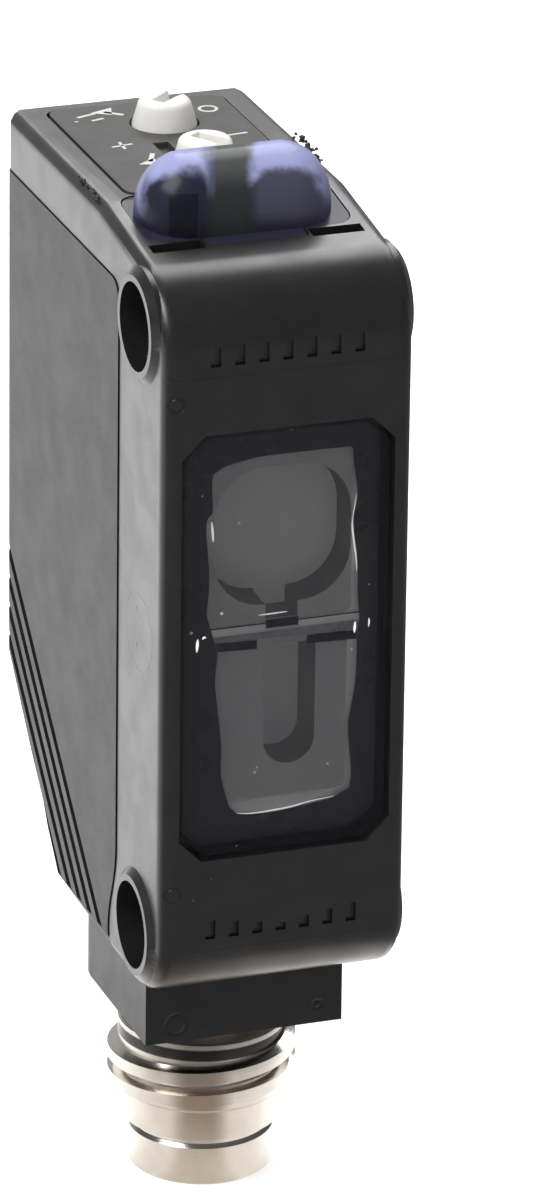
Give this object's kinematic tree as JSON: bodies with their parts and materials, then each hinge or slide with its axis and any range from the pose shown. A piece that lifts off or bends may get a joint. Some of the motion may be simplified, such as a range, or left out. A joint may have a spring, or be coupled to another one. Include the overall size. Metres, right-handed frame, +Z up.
{
  "type": "retro-reflective photoelectric sensor",
  "caption": "Slim retro-reflective photoelectric sensor: moulded case, dark lens window, indicator dome, turning adjusters on top and a threaded M8 plug below.",
  "frame": {"origin": "under the middle of the case, on the plane of the plug's open end", "axes": "+Z up from the plug to the adjusters, -Y the way the window looks, +X across the width"},
  "size_m": [0.0108, 0.02, 0.045],
  "materials": {
    "case": "fine spark-eroded black moulding, slightly worn",
    "window": "polished dark clear moulding",
    "filter": "grey polarising film",
    "optics": "matt black moulding",
    "lens": "clear optical moulding",
    "board": "green glass-epoxy board",
    "component": "black component body",
    "emitter": "clear red lamp body",
    "green_lamp": "clear green lamp body",
    "orange_lamp": "clear orange lamp body",
    "indicator": "polished violet clear moulding",
    "panel": "satin dark grey with white marks",
    "adjuster": "satin white",
    "seal": "black rubber ring",
    "plug_metal": "bright nickel plate on brass",
    "insulator": "black insulator",
    "contact": "gold plate"
  },
  "bodies": {
    "sensor": {"front_case": "case", "back_case": "case", "lens_window": "window", "receiver_filter": "filter", "emitter_filter": "filter", "optics_holder": "optics", "light_barrier": "optics", "receiver_lens": "lens", "emitter_lens": "lens", "optics_board": "board", "main_board": "board", "top_board": "board", "receiver_photodiode": "component", "mode_base": "component", "sensitivity_base": "component", "emitter_led": "emitter", "stability_lamp": "green_lamp", "output_lamp": "orange_lamp", "indicator_window": "indicator", "adjuster_panel": "panel", "mode_seal": "seal", "sensitivity_seal": "seal", "plug_shell": "plug_metal", "plug_insert": "insulator", "contact_pin_1": "contact", "contact_pin_2": "contact", "contact_pin_3": "contact", "contact_pin_4": "contact"},
    "mode_adjuster": {"mode_knob": "adjuster"},
    "sensitivity_adjuster": {"sensitivity_knob": "adjuster"}
  },
  "joints": [
    {"name": "mode_turn", "type": "hinge", "parent": "sensor", "child": "mode_adjuster", "pos_m": [0.00042, 0.00657, 0.04276], "axis": [0, 0, 1], "range_deg": [-12, 113]},
    {"name": "sensitivity_turn", "type": "hinge", "parent": "sensor", "child": "sensitivity_adjuster", "pos_m": [0.00042, 0.00153, 0.04276], "axis": [0, 0, 1], "range_deg": [-240, 30]}
  ]
}
